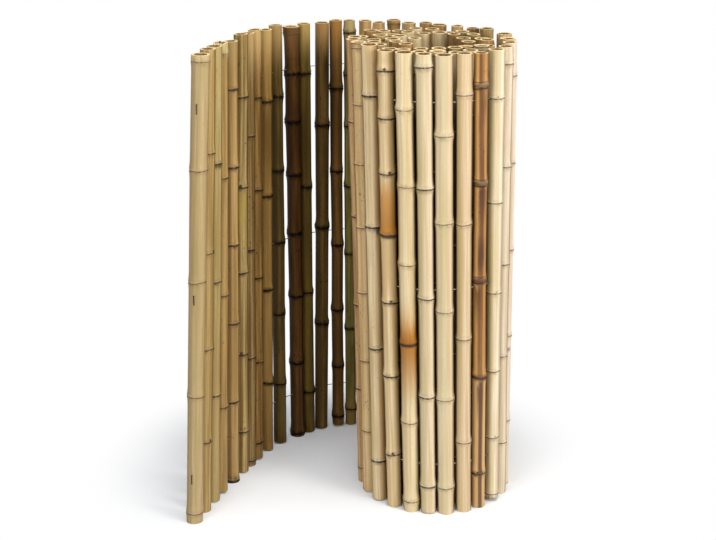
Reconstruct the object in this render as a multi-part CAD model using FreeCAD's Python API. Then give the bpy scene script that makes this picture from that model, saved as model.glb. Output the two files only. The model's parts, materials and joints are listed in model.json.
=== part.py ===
"""Bamboo fence panel, 1 m high: whole canes drilled through and threaded on three galvanised wires.

The panel stands on its end, partly rolled up. From the leading cane the free end of the mat runs back
and round behind the roll, passes down its right side and across its front, and then winds inwards.
Sizes are in millimetres, +Z is up and -Y is the front. X is to the right.
"""
import math
import os
import random
from dataclasses import dataclass

import FreeCAD, Part
from FreeCAD import Vector

# The panel and its canes
FENCE_HEIGHT = 1000.0
CANE_DIAMETER = 31.0
CANE_WALL = 4.5
DIAPHRAGM = 4.0  # the cross wall that closes a cane at each knot
RIDGE = 1.1  # how far a knot stands proud
RIDGE_BAND = 3.0
RIDGE_FADE = 7.5  # length over which the swelling dies away on each side
SHORT_BORE = 6.0  # an end that is cut closer to its knot than this stays solid
BOW = 1.4  # how far a cane strays from straight
KINK = 0.5  # sideways step at each knot

# The wires
WIRE_DIAMETER = 2.0
DRILL_CLEARANCE = 0.5  # all round the wire in its hole
LOW_WIRE = 113.0
TOP_WIRE_DROP = 96.0  # below the fence height
MIDDLE_WIRE_RISE = 2.5  # above halfway between the other two
WIRE_TAIL = 17.0  # the length of each end that is turned down
TAIL_STAND_OFF = 1.8  # clear space between a tail and the face of its cane
TAIL_BEND = 2.0

# The line of the mat, seen from above
FRONT_LEFT_RADIUS = 164.0
FRONT_RIGHT_RADIUS = 151.0
TURN_GAP = 9.0  # clear space between one turn and the next
SIDE_RUN = 77.0
CORNER = (123.0, 55.0)  # radius and degrees of the curve at the back right
BACK_RUN = 114.0
BEHIND = (258.0, 97.0)  # the curve behind the roll
WING = (1500.0, 14.0)  # the nearly straight free end
ANCHOR_ARC = 105.0  # from the roll's left side to the cane that the others are laid out from
ANCHOR_CANE = 37

# What the photograph hides
HIDDEN_CANES = 40
HIDDEN_SPREAD = 1.8  # how much a hidden cane's diameter varies
HIDDEN_GAPS = (4.5, 6.5)
FIRST_KNOTS = (20.0, 190.0)
KNOT_SPACINGS = (185.0, 255.0)

# Sub-parts: the canes of the inner turns are kept in threes
SINGLE_CANES = 46
GROUP = 3


@dataclass(frozen=True)
class Cane:
    """One cane: its girth against CANE_DIAMETER, the gap to the next cane inwards, and its knots.

    The lowest knot is at height knot, the next one spacing above it, and each spacing after that is
    longer by growth. The cane's top stands rise above the fence height, and its foot lift above the
    ground. A positive taper makes the top thicker than the foot.
    """

    girth: float
    gap: float
    knot: float
    spacing: float
    growth: float = 0.0
    rise: float = 0.0
    lift: float = 0.0
    taper: float = 0.0

    @property
    def radius(self):
        """The radius at half height."""
        return (CANE_DIAMETER + self.girth) / 2

    @property
    def top(self):
        """The height of the upper end."""
        return FENCE_HEIGHT + self.rise

    def radius_at(self, z):
        """The radius at height z, away from the knots."""
        return self.radius * (1 + self.taper * (z / FENCE_HEIGHT - 0.5))

    def knots(self):
        """The heights of all knots, from the foot up."""
        heights, z, step = [], self.knot, self.spacing
        while z < self.top - 2:
            heights.append(z)
            z += step
            step = max(step + self.growth, 60.0)
        return heights


# The canes that the photograph shows, from the leading cane inwards
SEEN_CANES = [
    # The free end, from the front back to behind the roll
    Cane(4.5, 12.5, 23, 265, -16, rise=0, taper=0.02),
    Cane(1.0, 11.0, 164, 210, 0, rise=4),
    Cane(0.0, 7.0, 252, 257, -3, rise=3, lift=2),
    Cane(-1.0, 25.5, 208, 258, 0, rise=6, lift=5),
    Cane(-2.5, 17.5, 5, 193, -7, rise=0),
    Cane(-2.0, 5.0, 104, 190, 2, rise=8, lift=2, taper=0.06),
    Cane(-3.0, 5.0, 14, 257, 0, rise=6),
    Cane(-3.0, 19.5, 45, 203, 1, rise=9, lift=4),
    Cane(-4.0, 17.0, 177, 232, -9, rise=3, lift=3),
    Cane(-2.0, 24.0, 158, 178, -3.5, rise=7, lift=4, taper=-0.05),
    Cane(1.0, 4.5, 9, 186, -15.5, rise=-2),
    Cane(-3.0, 10.0, 109, 257, 3, rise=1, lift=2),
    Cane(0.0, 9.0, 280, 243, 0, rise=0, lift=3),
    Cane(-3.0, 4.5, 29, 133, 15.5, rise=3, lift=5),
    Cane(-5.0, 9.5, 44, 215, -24, rise=2, lift=2),
    # Behind the roll
    Cane(-4.0, 4.5, 120, 222, 0, rise=1),
    Cane(-4.0, 6.0, 66, 236, -6, rise=-3),
    Cane(-3.0, 6.0, 150, 205, 4, rise=3, lift=3),
    Cane(0.0, 12.5, 34, 218, 0, rise=-2),
    Cane(-4.0, 4.5, 95, 240, -4, rise=1, lift=2),
    Cane(3.0, 17.5, 178, 214, 2, rise=-1),
    Cane(-4.5, 13.0, 58, 226, -5, rise=1, lift=1),
    Cane(-3.0, 7.5, 132, 208, 3, rise=-1),
    Cane(-1.0, 37.0, 81, 232, 0, rise=2, lift=2),
    Cane(1.0, 10.0, 160, 215, -3, rise=0),
    Cane(1.0, 10.0, 40, 224, 0, rise=-3, lift=1),
    # The right side of the roll
    Cane(-2.0, 9.5, 41, 214, -18, rise=3),
    Cane(-1.0, 13.5, 158, 203, -6, rise=2, lift=2),
    Cane(-1.0, 11.0, 124, 206, 3, rise=1),
    Cane(1.0, 14.0, 18, 136, 20.5, rise=1, lift=9, taper=0.12),
    # Across the front of the roll
    Cane(-2.5, 7.5, 83, 226, -9, rise=-1, lift=1),
    Cane(1.0, 7.0, 165, 236, 15, rise=1),
    Cane(5.0, 4.0, 62, 206, -8, rise=-1, taper=0.03),
    Cane(2.0, 4.5, 65, 208, 13, rise=1, lift=2),
    Cane(5.0, 8.0, 24, 187, -7, rise=2, taper=0.04),
    Cane(2.0, 11.0, 126, 183, -17.5, rise=2, taper=0.04),
    Cane(3.5, 12.0, 95, 265, 5, rise=8, lift=3),
    Cane(0.0, 20.0, 148, 166, -10, rise=6, lift=2),
    Cane(0.0, 6.0, 35, 193, 4, rise=4),
]

# How far a cane's top leans over from its foot, in X and Y, at some canes; between them it changes evenly
LEANS = [
    (1, 44.0, 40.0),
    (5, 24.0, 10.0),
    (9, 17.0, -22.0),
    (11, 0.0, -30.0),
    (12, 0.0, -30.0),
    (13, 11.0, -31.0),
    (14, -1.0, -31.0),
    (16, -2.0, -32.0),
    (26, -12.0, -10.0),
    (30, -19.0, -4.0),
    (35, -27.0, 0.0),
    (38, -26.0, 6.0),
    (60, -24.0, 0.0),
]

TOP_WIRE = FENCE_HEIGHT - TOP_WIRE_DROP
WIRE_HEIGHTS = {
    "low_wire": LOW_WIRE,
    "middle_wire": (LOW_WIRE + TOP_WIRE) / 2 + MIDDLE_WIRE_RISE,
    "top_wire": TOP_WIRE,
}


class MatLine:
    """The line through the canes at half height, as arcs and straight runs that flow into each other."""

    def __init__(self, x, y, heading, pieces):
        """Store each piece of the line with where it starts.

        Each piece is a radius and degrees of turn, or a radius of None and a length. A positive
        turn goes to the left.
        """
        self.pieces = []
        for radius, amount in pieces:
            length = amount if radius is None else radius * math.radians(abs(amount))
            curve = 0.0 if radius is None else math.copysign(1 / radius, amount)
            self.pieces.append((x, y, heading, curve, length))
            x, y, heading = self.step(x, y, heading, curve, length)

    @staticmethod
    def step(x, y, heading, curve, length):
        """Move along one piece and return the new place and heading."""
        if curve == 0:
            return x + length * math.cos(heading), y + length * math.sin(heading), heading
        after = heading + length * curve
        x += (math.sin(after) - math.sin(heading)) / curve
        y += (math.cos(heading) - math.cos(after)) / curve
        return x, y, after

    def place(self, distance):
        """Return x and y at a distance along the line."""
        for x, y, heading, curve, length in self.pieces:
            if distance <= length:
                break
            distance -= length
        else:
            distance += length
        return self.step(x, y, heading, curve, distance)[:2]


def outward_line():
    """Return the line from the roll's left side round the front, the right and the back to the free end."""
    pieces = [(FRONT_LEFT_RADIUS, 90), (FRONT_RIGHT_RADIUS, 90), (None, SIDE_RUN), CORNER]
    pieces += [(None, BACK_RUN), BEHIND, WING]
    return MatLine(0, 0, math.radians(-90), pieces)


def inward_line():
    """Return the line from the roll's left side inwards, in quarter turns that shrink by half a pitch."""
    pitch = CANE_DIAMETER + TURN_GAP
    pieces = []
    for half_turn in range(1, 8):
        for radius in (FRONT_RIGHT_RADIUS, FRONT_LEFT_RADIUS):
            pieces.append((max(radius - half_turn * pitch / 2, pitch / 2), -90))
    return MatLine(0, 0, math.radians(90), pieces)


def all_canes():
    """Return every cane from the leading one inwards, with the hidden ones drawn at random."""
    rng = random.Random(17)
    canes = list(SEEN_CANES)
    for _ in range(HIDDEN_CANES):
        girth = rng.uniform(-HIDDEN_SPREAD, HIDDEN_SPREAD) - 0.6
        knot, spacing = rng.uniform(*FIRST_KNOTS), rng.uniform(*KNOT_SPACINGS)
        lift = max(0.0, rng.uniform(-3, 5))
        canes.append(Cane(girth, rng.uniform(*HIDDEN_GAPS), knot, spacing, 0, rng.uniform(-5, 6), lift))
    return canes


def cane_places(canes):
    """Walk along the line both ways from the anchor cane and return each cane's x and y at half height."""
    anchor = ANCHOR_CANE - 1
    places = [None] * len(canes)
    outward, inward = outward_line(), inward_line()
    distance = ANCHOR_ARC
    places[anchor] = outward.place(distance)
    for index in range(anchor - 1, -1, -1):
        distance += canes[index].radius + canes[index].gap + canes[index + 1].radius
        places[index] = outward.place(distance)
    distance = ANCHOR_ARC
    for index in range(anchor + 1, len(canes)):
        distance -= canes[index - 1].radius + canes[index - 1].gap + canes[index].radius
        places[index] = outward.place(distance) if distance >= 0 else inward.place(-distance)
    return places


def lean_of(number):
    """Return how far the top of cane number leans over its foot, in X and Y."""
    for (first, x0, y0), (last, x1, y1) in zip(LEANS, LEANS[1:]):
        if number <= last:
            share = (number - first) / (last - first)
            return x0 + share * (x1 - x0), y0 + share * (y1 - y0)
    return LEANS[-1][1:]


class CaneShape:
    """The solid of one cane: its crooked axis, its rings from foot to top, its bores and its drilled holes."""

    def __init__(self, number, cane, place):
        """Settle the cane's crook and the rings that its skin runs through."""
        rng = random.Random(100 + number)
        self.cane = cane
        self.x, self.y = place
        self.lean = lean_of(number)
        self.bow_way = rng.uniform(0, 2 * math.pi)
        self.bow = BOW * rng.uniform(0.3, 1.0)
        self.kink_way = self.bow_way + math.pi / 2
        self.kinks = [(z, KINK * (-1) ** i) for i, z in enumerate(cane.knots())]
        self.rings = self.find_rings()

    def axis(self, z):
        """Return the centre of the cane at height z."""
        share = z / FENCE_HEIGHT
        bow = self.bow * math.sin(math.pi * share)
        x = self.x + self.lean[0] * (share - 0.5) + bow * math.cos(self.bow_way)
        y = self.y + self.lean[1] * (share - 0.5) + bow * math.sin(self.bow_way)
        side = self.kink_at(z)
        return Vector(x + side * math.cos(self.kink_way), y + side * math.sin(self.kink_way), z)

    def kink_at(self, z):
        """Return the sideways step at height z: canes run zigzag from knot to knot."""
        before = (self.cane.lift, 0.0)
        for knot in self.kinks + [(self.cane.top, 0.0)]:
            if z <= knot[0]:
                span = max(knot[0] - before[0], 1.0)
                return before[1] + (knot[1] - before[1]) * (z - before[0]) / span
            before = knot
        return 0.0

    def find_rings(self):
        """Return the height and radius of each ring, with a swollen band at every knot."""
        foot, top = self.cane.lift, self.cane.top
        rings = [(foot, self.cane.radius_at(foot))]
        for knot in self.cane.knots():
            half = RIDGE_BAND / 2
            for offset, swell in ((-half - RIDGE_FADE, 0), (-half, RIDGE), (half, RIDGE), (half + RIDGE_FADE, 0)):
                z = knot + offset
                if rings[-1][0] + 0.8 < z < top - 0.8:
                    rings.append((z, self.cane.radius_at(z) + swell))
        rings.append((top, self.cane.radius_at(top)))
        return rings

    def circle(self, z, radius):
        """Return a level circle about the cane's axis."""
        return Part.Wire(Part.makeCircle(radius, self.axis(z)))

    def bore(self, end, bottom):
        """Return the hollow from an open end to just short of the first knot, or None where it is too short."""
        away = 1 if bottom > end else -1
        if abs(bottom - end) < SHORT_BORE:
            return None
        mouth = end - 1.0 * away
        radii = [self.cane.radius_at(z) - CANE_WALL for z in (end, bottom)]
        return Part.makeLoft([self.circle(mouth, radii[0]), self.circle(bottom, radii[1])], True, True)

    def solid(self, drills):
        """Return the finished cane.

        Args:
            drills: straight cylinders along the wires, which are cut out of the cane.
        """
        skin = Part.makeLoft([self.circle(z, radius) for z, radius in self.rings], True, True)
        knots = self.cane.knots()
        foot_end = knots[0] - DIAPHRAGM / 2
        top_end = knots[-1] + DIAPHRAGM / 2
        bores = [self.bore(self.cane.lift, foot_end), self.bore(self.cane.top, top_end)]
        return skin.cut([bore for bore in bores if bore] + drills)

    def extent(self):
        """Return the smallest and largest x and y that the rings reach."""
        spans = []
        for z, radius in self.rings:
            centre = self.axis(z)
            spans.append((centre.x - radius, centre.x + radius, centre.y - radius, centre.y + radius))
        low = [min(span[i] for span in spans) for i in (0, 2)]
        high = [max(span[i] for span in spans) for i in (1, 3)]
        return low, high


class WireLine:
    """One wire: straight through each cane, bent a little in each gap, and turned down at both ends."""

    def __init__(self, height, shapes):
        """Work out the corners of the wire's line, from the leading cane inwards."""
        self.height = height
        centres = [shape.axis(height) for shape in shapes]
        radii = [shape.cane.radius_at(height) for shape in shapes]
        corners, self.gaps = [], []
        for here, there, near, far in zip(centres, centres[1:], radii, radii[1:]):
            gap = (there - here).Length - near - far
            corners.append(here + (there - here).normalize() * (near + gap / 2))
            self.gaps.append(gap)
        self.corners = [self.beyond(centres[0], corners[0], radii[0])] + corners
        self.corners.append(self.beyond(centres[-1], corners[-1], radii[-1]))

    @staticmethod
    def beyond(centre, corner, radius):
        """Return the point where the wire has left an end cane and turns down."""
        way = (centre - corner).normalize()
        return centre + way * (radius + TAIL_STAND_OFF + WIRE_DIAMETER / 2)

    def drill(self, index):
        """Return the cylinder that makes cane index's hole along the wire."""
        start, end = self.corners[index], self.corners[index + 1]
        way = (end - start).normalize()
        reach = (end - start).Length
        return Part.makeCylinder(WIRE_DIAMETER / 2 + DRILL_CLEARANCE, reach, start, way)

    def route(self):
        """Return the corners of the whole wire, with a tail at each end, and the bend radius at each."""
        tail = Vector(0, 0, -WIRE_TAIL - TAIL_BEND)
        points = [self.corners[0] + tail] + self.corners + [self.corners[-1] + tail]
        bends = [TAIL_BEND]
        for index, gap in enumerate(self.gaps, start=1):
            before, here, after = self.corners[index - 1:index + 2]
            turn = (here - before).getAngle(after - here)
            bends.append(0.4 * gap / math.tan(max(turn, 0.002) / 2))
        bends.append(TAIL_BEND)
        return points, bends

    def solid(self):
        """Sweep the wire's round section along straight runs joined by tangent arcs."""
        points, bends = self.route()
        edges, start = [], points[0]
        for before, here, after, bend in zip(points, points[1:], points[2:], bends):
            incoming, outgoing = (here - before).normalize(), (after - here).normalize()
            turn = incoming.getAngle(outgoing)
            if turn < 0.003:
                continue
            reach = bend * math.tan(turn / 2)
            enter, leave = here - incoming * reach, here + outgoing * reach
            inner = (outgoing - incoming).normalize()
            middle = here + inner * (bend / math.cos(turn / 2) - bend)
            edges.append(Part.LineSegment(start, enter).toShape())
            edges.append(Part.Arc(enter, middle, leave).toShape())
            start = leave
        edges.append(Part.LineSegment(start, points[-1]).toShape())
        path = Part.Wire(edges)
        section = Part.Wire(Part.makeCircle(WIRE_DIAMETER / 2, points[0], Vector(0, 0, 1)))
        swept = path.makePipeShell([section], True, False)
        share = swept.Volume / (path.Length * math.pi * WIRE_DIAMETER ** 2 / 4)
        print("wire at", self.height, "length", round(path.Length), "volume against section times length", round(share, 4))
        return swept


def node_groups(count):
    """Return the node names with the numbers of the canes in each."""
    groups = [("cane_%02d" % number, [number]) for number in range(1, SINGLE_CANES + 1)]
    for first in range(SINGLE_CANES + 1, count + 1, GROUP):
        numbers = list(range(first, min(first + GROUP, count + 1)))
        groups.append(("canes_%02d_to_%02d" % (numbers[0], numbers[-1]), numbers))
    return groups


def main():
    """Build the canes and the wires, centre them over the ground and write one STEP file for each node."""
    os.makedirs("parts", exist_ok=True)
    canes = all_canes()
    shapes = [CaneShape(i + 1, cane, place) for i, (cane, place) in enumerate(zip(canes, cane_places(canes)))]
    extents = [shape.extent() for shape in shapes]
    centre = [(min(low[i] for low, _ in extents) + max(high[i] for _, high in extents)) / 2 for i in (0, 1)]
    for shape in shapes:
        shape.x -= centre[0]
        shape.y -= centre[1]
    wires = {name: WireLine(height, shapes) for name, height in WIRE_HEIGHTS.items()}
    solids = [shape.solid([wire.drill(i) for wire in wires.values()]) for i, shape in enumerate(shapes)]
    for name, numbers in node_groups(len(canes)):
        members = [solids[number - 1] for number in numbers]
        shape = members[0] if len(members) == 1 else Part.makeCompound(members)
        shape.exportStep("parts/%s.step" % name)
    for name, wire in wires.items():
        wire.solid().exportStep("parts/%s.step" % name)
    print(len(canes), "canes on", len(wires), "wires")


main()
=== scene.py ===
"""Dresses the bamboo fence panel: sawn canes with their knots, drilled and threaded on zinc-coated wires.

The canes stand where the frame's solids stand. Each one is drawn again round the rings of its solid, with the
sheath scars, ridges, bud grooves and sawn ends that a real cane has, and gets a skin: its own where seen, a
shared one where hidden.
"""
import json
import logging
import math
import random
from dataclasses import dataclass
from typing import Any

import bmesh
import bpy
import numpy as np
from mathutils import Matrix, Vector

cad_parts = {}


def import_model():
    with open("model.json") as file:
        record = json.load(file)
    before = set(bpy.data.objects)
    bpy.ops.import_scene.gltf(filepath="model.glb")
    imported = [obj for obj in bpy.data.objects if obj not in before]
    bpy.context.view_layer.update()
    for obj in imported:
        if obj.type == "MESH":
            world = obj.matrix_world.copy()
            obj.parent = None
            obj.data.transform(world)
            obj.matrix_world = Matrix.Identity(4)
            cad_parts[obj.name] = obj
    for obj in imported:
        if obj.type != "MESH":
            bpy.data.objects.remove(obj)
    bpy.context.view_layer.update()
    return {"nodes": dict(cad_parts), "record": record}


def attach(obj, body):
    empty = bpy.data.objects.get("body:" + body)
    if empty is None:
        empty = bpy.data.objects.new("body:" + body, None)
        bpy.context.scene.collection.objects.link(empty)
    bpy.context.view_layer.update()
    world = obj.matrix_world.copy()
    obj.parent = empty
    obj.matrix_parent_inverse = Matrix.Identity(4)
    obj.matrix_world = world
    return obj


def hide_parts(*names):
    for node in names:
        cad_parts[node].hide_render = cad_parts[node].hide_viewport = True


LOG = logging.getLogger("bamboo_fence")
MM = 0.001
UMBER_BLACK = "3a2818"  # the buds' own dark colour, and painted shade in the drilled holes


def srgb(code: str) -> tuple[float, float, float, float]:
    """Turn an sRGB hex colour into the linear colour that the shaders take.

    Args:
        code: six hex digits, such as "d8c39a".

    Returns:
        Red, green, blue and alpha, linear.
    """
    parts = [int(code[i:i + 2], 16) / 255 for i in (0, 2, 4)]
    linear = [p / 12.92 if p <= 0.04045 else ((p + 0.055) / 1.055) ** 2.4 for p in parts]
    return linear[0], linear[1], linear[2], 1.0


def add_node(tree: bpy.types.NodeTree, kind: str, settings: dict[str, Any] | None = None,
             inputs: dict[Any, Any] | None = None) -> bpy.types.Node:
    """Add one node with its settings and its values or links.

    Args:
        tree: the node tree that gets the node.
        kind: the node's type name.
        settings: attributes to set on the node.
        inputs: a value or an output socket for each named or numbered input.

    Returns:
        The new node.
    """
    node = tree.nodes.new(kind)
    for name, value in (settings or {}).items():
        setattr(node, name, value)
    for name, value in (inputs or {}).items():
        if isinstance(value, bpy.types.NodeSocket):
            tree.links.new(value, node.inputs[name])
        else:
            node.inputs[name].default_value = value
    return node


def start_material(name: str) -> tuple[bpy.types.Material, bpy.types.NodeTree]:
    """Start a material with an empty node tree."""
    material = bpy.data.materials.new(name)
    material.use_nodes = True
    material.node_tree.nodes.clear()
    return material, material.node_tree


def end_material(tree: bpy.types.NodeTree, relief: bpy.types.NodeSocket, strength: float, depth: float,
                 inputs: dict[str, Any]) -> None:
    """End a material with its shader and a relief under it.

    Args:
        tree: the node tree.
        relief: the pattern of the relief.
        strength: how much of it shows.
        depth: how deep it is, in mm.
        inputs: the shader's other values and links.
    """
    bump = add_node(tree, "ShaderNodeBump", None,
                    {"Strength": strength, "Distance": depth * MM, "Height": relief})
    shader = add_node(tree, "ShaderNodeBsdfPrincipled", None, {"Normal": bump.outputs[0], **inputs})
    add_node(tree, "ShaderNodeOutputMaterial", None, {0: shader.outputs[0]})


def pattern(tree: bpy.types.NodeTree, uv: bpy.types.NodeSocket, across: float, length: float, detail: float,
            shift: float = 0.0) -> bpy.types.NodeSocket:
    """Add a noise that is drawn out along the cane.

    Args:
        tree: the node tree.
        uv: the millimetre coordinates on the skin.
        across: the size of the pattern round the cane, in mm.
        length: its size along the cane, in mm.
        detail: how many finer layers it has.
        shift: moves the pattern, so that two of the same size differ.

    Returns:
        The noise's value.
    """
    scale = add_node(tree, "ShaderNodeVectorMath", {"operation": "MULTIPLY_ADD"},
                     {0: uv, 1: (1 / across, 1 / length, 1.0), 2: (shift, shift, shift)})
    return add_node(tree, "ShaderNodeTexNoise", {"noise_dimensions": "3D"},
                    {"Vector": scale.outputs[0], "Scale": 1.0, "Detail": detail, "Roughness": 0.6}).outputs[0]


def blend(tree: bpy.types.NodeTree, factor: Any, below: Any, above: Any) -> bpy.types.NodeSocket:
    """Lay one colour over another, by a factor."""
    return add_node(tree, "ShaderNodeMix", {"data_type": "RGBA"}, {0: factor, 6: below, 7: above}).outputs[2]


def remap(tree: bpy.types.NodeTree, value: Any, low: float, high: float, first: float, last: float,
          kind: str = "LINEAR") -> bpy.types.NodeSocket:
    """Bring a value from one range into another, clamped."""
    return add_node(tree, "ShaderNodeMapRange", {"interpolation_type": kind},
                    {0: value, 1: low, 2: high, 3: first, 4: last}).outputs[0]


def ramp(tree: bpy.types.NodeTree, value: Any, low: float, high: float,
         top: float = 1.0) -> bpy.types.NodeSocket:
    """Bring a value from a range into zero to top, clamped and eased."""
    return remap(tree, value, low, high, 0.0, top, "SMOOTHSTEP")


def reckon(tree: bpy.types.NodeTree, kind: str, *values: Any) -> bpy.types.NodeSocket:
    """Work out one value from others, by the named kind of sum."""
    return add_node(tree, "ShaderNodeMath", {"operation": kind}, dict(enumerate(values))).outputs[0]


def product(tree: bpy.types.NodeTree, first: Any, second: Any) -> bpy.types.NodeSocket:
    """Multiply two values."""
    return reckon(tree, "MULTIPLY", first, second)


@dataclass(frozen=True)
class StainAndPaintedLight:
    """A stain, a scorch, or painted light or shade on a stretch of one cane: strongest at one height, fading
    away.

    Attributes:
        height: where it is strongest, in mm above the ground.
        up: how far it reaches above that height, in mm.
        down: how far it reaches below, in mm.
        colour: its colour.
        strength: how much of the skin it hides at its strongest.
        side: the side of the cane that it keeps to, in turns from +X, or None for all round.
        spread: how far round the cane it reaches to each side of that, in turns.
        over: whether it covers the knots too.
    """

    height: float
    up: float
    down: float
    colour: str
    strength: float = 0.8
    side: float | None = None
    spread: float = 0.24
    over: bool = False


@dataclass(frozen=True)
class BambooSkin:
    """Bamboo skin: a waxy rind over long straight fibres, dried from green to straw and never sanded.

    Attributes:
        light: the colour of the paler streaks.
        dark: the colour of the darker streaks.
        tint: the colour of the broad patches.
        patches: how much of the patches shows.
        streaks: how strong the streaks are.
        mottle: how many specks of mould there are.
        scar: the colour of the scar line at each knot.
        scar_width: the width of that line in mm.
        halo: how much the skin darkens beside a knot.
        stains_and_painted_light: the cane's own marks, and the light and shade painted on it.
        bloom: how pale the wax above each scar is.
        gloss: the gloss of the wax, which dark weathered canes have almost lost.
    """

    light: str = "e6d5ac"
    dark: str = "cfb57f"
    tint: str = "c69a5b"
    patches: float = 0.25
    streaks: float = 0.5
    mottle: float = 0.1
    scar: str = "4a3420"
    scar_width: float = 1.3
    halo: float = 0.35
    stains_and_painted_light: tuple[StainAndPaintedLight, ...] = ()
    bloom: float = 0.4
    gloss: float = 0.24

    SHAKE = 2.2  # how far the marks at a knot stray up and down, in mm
    RAGGED = 50.0  # how unevenly a long stain fades out, in mm
    CRISP = 12.0  # a stain that fades out over less than this has an even edge

    def material(self, name: str) -> bpy.types.Material:
        """Build the skin's material."""
        material, tree = start_material(name)
        uv = add_node(tree, "ShaderNodeUVMap", {"uv_map": "skin"})
        place = add_node(tree, "ShaderNodeSeparateXYZ", None, {0: uv.outputs[0]})
        around, along = place.outputs[0], place.outputs[1]
        colour = self.fibre_colour(tree, uv.outputs[0])
        for over in (False, True):
            colour = self.lay_stains_and_painted_light(tree, colour, around, along, over)
            colour = colour if over else self.knotted(tree, colour, uv.outputs[0])
        fibres = pattern(tree, uv.outputs[0], 0.9, 45.0, 3.0)
        wear = pattern(tree, uv.outputs[0], 7.0, 60.0, 2.0)
        end_material(tree, fibres, 0.5, 0.09, {
            "Base Color": colour, "Roughness": remap(tree, wear, 0.3, 0.7, 0.36, 0.56),
            "IOR": 1.47, "Specular IOR Level": self.gloss})
        return material

    def fibre_colour(self, tree: bpy.types.NodeTree, uv: bpy.types.NodeSocket) -> bpy.types.NodeSocket:
        """Mix the skin's own colours in streaks, patches and specks."""
        broad = ramp(tree, pattern(tree, uv, 9.0, 420.0, 2.0), 0.36, 0.66)
        fine = ramp(tree, pattern(tree, uv, 2.2, 150.0, 3.0, 4.7), 0.35, 0.72)
        broad = product(tree, broad, min(self.streaks * 1.3, 1.0))
        colour = blend(tree, broad, srgb(self.light), srgb(self.dark))
        colour = blend(tree, product(tree, fine, self.streaks * 0.55), colour, srgb(self.dark))
        cloud = ramp(tree, pattern(tree, uv, 26.0, 130.0, 3.0, 9.1), 0.46, 0.7)
        colour = blend(tree, product(tree, cloud, self.patches), colour, srgb(self.tint))
        grain = ramp(tree, pattern(tree, uv, 1.6, 9.0, 4.0, 61.0), 0.42, 0.7, 0.3)
        colour = blend(tree, grain, colour, srgb(self.dark))
        specks = ramp(tree, pattern(tree, uv, 3.2, 8.0, 4.0, 2.3), 0.58, 0.72)
        groups = ramp(tree, pattern(tree, uv, 22.0, 60.0, 2.0, 7.7), 0.5, 0.64)
        return blend(tree, product(tree, product(tree, specks, groups), self.mottle * 2), colour,
                          srgb(self.scar))

    def lay_stains_and_painted_light(self, tree: bpy.types.NodeTree, colour: bpy.types.NodeSocket, around: bpy.types.NodeSocket,
                along: bpy.types.NodeSocket, over: bool) -> bpy.types.NodeSocket:
        """Lay the cane's own marks, and the light and shade painted on it, over its colour.

        Args:
            tree: the node tree.
            colour: the skin's colour so far.
            around: the millimetres round the cane.
            along: the height in mm.
            over: whether to lay the marks that cover the knots, or the others.

        Returns:
            The new colour.
        """
        uv = add_node(tree, "ShaderNodeCombineXYZ", None, {0: around, 1: along}).outputs[0]
        ragged = reckon(tree, "MULTIPLY_ADD", pattern(tree, uv, 5.0, 70.0, 3.0, 13.3), self.RAGGED, along)
        for layer in (layer for layer in self.stains_and_painted_light if layer.over == over):
            cover = layer.strength
            for reach in (-layer.down, layer.up):
                long_way = abs(reach) > self.CRISP
                peak = layer.height + (self.RAGGED / 2 if long_way else 0.0)
                cover = product(tree, ramp(tree, ragged if long_way else along, peak + reach, peak), cover)
            if layer.side is not None:
                turns = add_node(tree, "ShaderNodeUVMap", {"uv_map": "turn"}).outputs[0]
                facing = add_node(tree, "ShaderNodeSeparateXYZ", None, {0: turns}).outputs[0]
                away = reckon(tree, "PINGPONG", reckon(tree, "SUBTRACT", facing, layer.side), 0.5)
                cover = product(tree, cover, ramp(tree, away, layer.spread, layer.spread / 3))
            colour = blend(tree, cover, colour, srgb(layer.colour))
        return colour

    def knotted(self, tree: bpy.types.NodeTree, colour: bpy.types.NodeSocket,
                uv: bpy.types.NodeSocket) -> bpy.types.NodeSocket:
        """Darken the skin beside each knot, draw the scar line and return the new colour."""
        reach = add_node(tree, "ShaderNodeAttribute", {"attribute_name": "scar"}).outputs["Fac"]
        shaken = reckon(tree, "MULTIPLY_ADD", pattern(tree, uv, 4.0, 6.0, 3.0, 21.0), 2 * self.SHAKE, reach)
        shaken = reckon(tree, "SUBTRACT", shaken, self.SHAKE)
        distance = reckon(tree, "ABSOLUTE", shaken)
        patchy = ramp(tree, pattern(tree, uv, 9.0, 14.0, 3.0, 31.0), 0.34, 0.62)
        turns = add_node(tree, "ShaderNodeUVMap", {"uv_map": "turn"}).outputs[0]
        near = add_node(tree, "ShaderNodeSeparateXYZ", None, {0: turns}).outputs[1]
        halo = product(tree, ramp(tree, distance, 12.0, 1.5, self.halo), patchy)
        colour = blend(tree, product(tree, halo, near), colour, srgb(self.scar))
        bloom = product(tree, ramp(tree, shaken, 7.0, 3.5), ramp(tree, shaken, 1.2, 2.8, self.bloom))
        colour = blend(tree, product(tree, bloom, near), colour, srgb(self.light))
        broken = ramp(tree, pattern(tree, uv, 5.0, 20.0, 2.0, 51.0), 0.3, 0.55)
        line = product(tree, ramp(tree, distance, self.scar_width * 1.3, self.scar_width * 0.4),
                       remap(tree, broken, 0.0, 1.0, 0.62, 0.95))
        colour = blend(tree, product(tree, line, near), colour, srgb(self.scar))
        # A bud takes its own dark colour; a drilled hole takes the same colour as painted shade.
        dark = add_node(tree, "ShaderNodeAttribute", {"attribute_name": "dark"}).outputs["Fac"]
        return blend(tree, ramp(tree, dark, 0.25, 0.6, 0.9), colour, srgb(UMBER_BLACK))


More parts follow.
